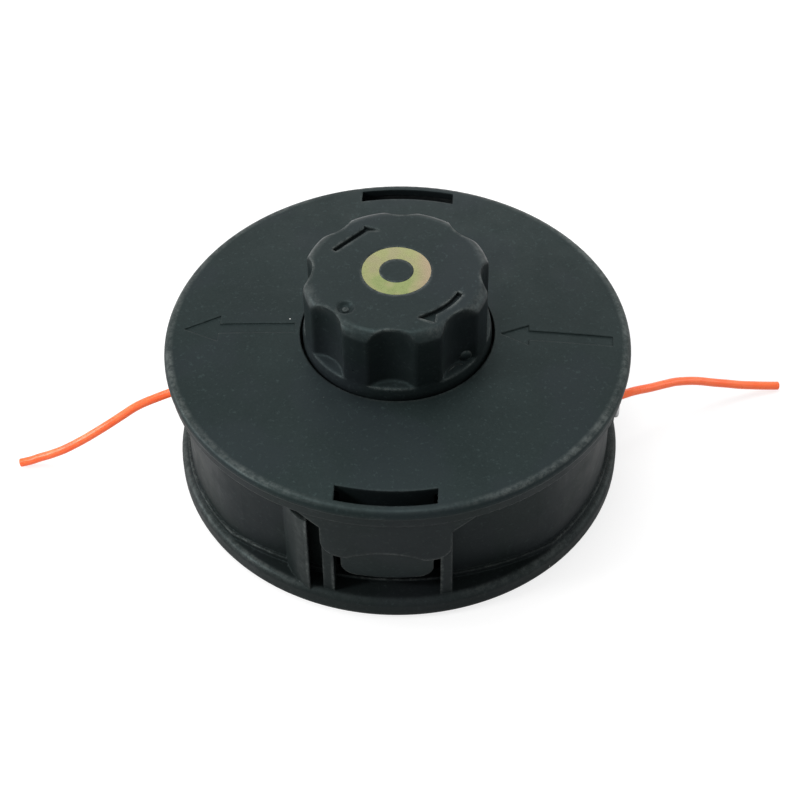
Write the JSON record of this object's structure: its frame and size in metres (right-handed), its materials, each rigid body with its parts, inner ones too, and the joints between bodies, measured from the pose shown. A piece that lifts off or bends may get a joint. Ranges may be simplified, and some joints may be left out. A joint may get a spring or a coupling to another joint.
{
  "type": "trimmer head",
  "caption": "Bump-feed line trimmer head: round housing with line eyelets, latched cover disc, fluted tap knob on a sprung ratchet spool, and two free line ends.",
  "frame": {"origin": "on the spin axis, at the centre of the underside of the base flange that the head rests on", "axes": "+Z along the spin axis, from the gearbox side towards the tap knob; the line eyelets lie on X and the two cover latches on Y"},
  "size_m": [0.2156, 0.125, 0.068],
  "materials": {
    "housing_plastic": "fine satin moulding texture, dusty",
    "cover_plastic": "fine satin moulding texture, dusty",
    "knob_plastic": "satin, slightly scuffed",
    "spool_plastic": "satin",
    "steel": "turned, lightly oiled",
    "yellow_zinc_steel": "yellow zinc plating",
    "eyelet_metal": "turned",
    "line_nylon": "translucent orange monofilament"
  },
  "bodies": {
    "head": {"housing": "housing_plastic", "cover": "cover_plastic", "arbor_insert": "steel", "eyelet_right": "eyelet_metal", "eyelet_left": "eyelet_metal", "spring": "steel", "line_tail_right": "line_nylon", "line_tail_left": "line_nylon"},
    "spring_seat": {"spring_seat": "steel"},
    "spool_and_knob": {"spool": "spool_plastic", "tap_knob": "knob_plastic", "wear_ring": "yellow_zinc_steel", "line_winding_upper": "line_nylon", "line_winding_lower": "line_nylon"}
  },
  "joints": [
    {"name": "bump", "type": "slide", "parent": "head", "child": "spring_seat", "axis": [0, 0, -1], "range_m": [0, 0.0055], "stiffness_N_per_m": 1500, "springref_m": -0.008, "deforming": ["spring"]},
    {"name": "spool_spin", "type": "hinge", "parent": "spring_seat", "child": "spool_and_knob", "pos_m": [0, 0, 0], "axis": [0, 0, 1], "continuous": true}
  ]
}
